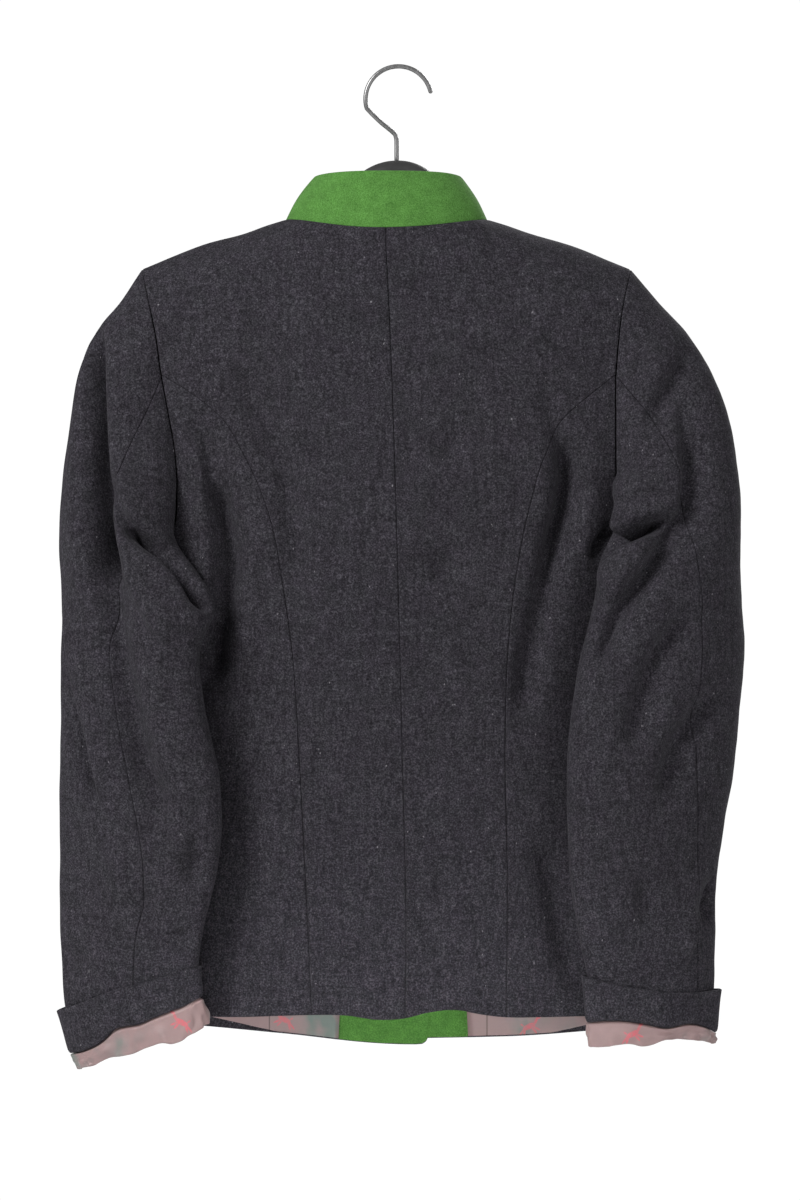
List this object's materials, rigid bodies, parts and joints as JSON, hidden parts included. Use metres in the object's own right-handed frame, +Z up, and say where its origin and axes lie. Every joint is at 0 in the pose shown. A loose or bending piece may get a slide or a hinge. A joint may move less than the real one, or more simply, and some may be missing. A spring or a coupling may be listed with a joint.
{
  "type": "trachten jacket on a hanger",
  "caption": "Women's grey wool flannel trachten jacket with a green stand collar, princess seams, two-piece sleeves and turned-up cuffs, hanging closed on a plain black hanger",
  "frame": {"origin": "the underside of the hook's arch, where a rod or wall hook carries the hanger", "axes": "+Z up, -Y the side of the jacket's back that the picture shows, +X the wearer's right"},
  "size_m": [0.5393, 0.1435, 0.7873],
  "materials": {
    "wool": "dry napped wool flannel, charcoal melange with fine lighter fibres",
    "felt": "dense green loden felt, dry",
    "lining": "shot viscose lining, taupe pink with a grey-green cross colour, soft sheen, small woven motif",
    "hanger": "black moulded plastic, satin",
    "hook": "black coated steel wire",
    "button": "plain dark buttons, satin"
  },
  "bodies": {
    "root": {"back_left": "wool", "back_right": "wool", "side_back_left": "wool", "side_back_right": "wool", "front_left": "wool", "front_right": "wool", "facing_left": "felt", "facing_right": "felt", "front_lining_left": "lining", "front_lining_right": "lining", "upper_sleeve_left": "wool", "upper_sleeve_right": "wool", "under_sleeve_left": "wool", "under_sleeve_right": "wool", "cuff_left": "wool", "cuff_right": "wool", "cuff_lining_left": "lining", "cuff_lining_right": "lining", "collar": "felt", "hanger": "hanger", "hook": "hook", "button_1": "button", "button_2": "button", "button_3": "button", "button_4": "button", "button_5": "button", "button_6": "button"}
  },
  "joints": []
}
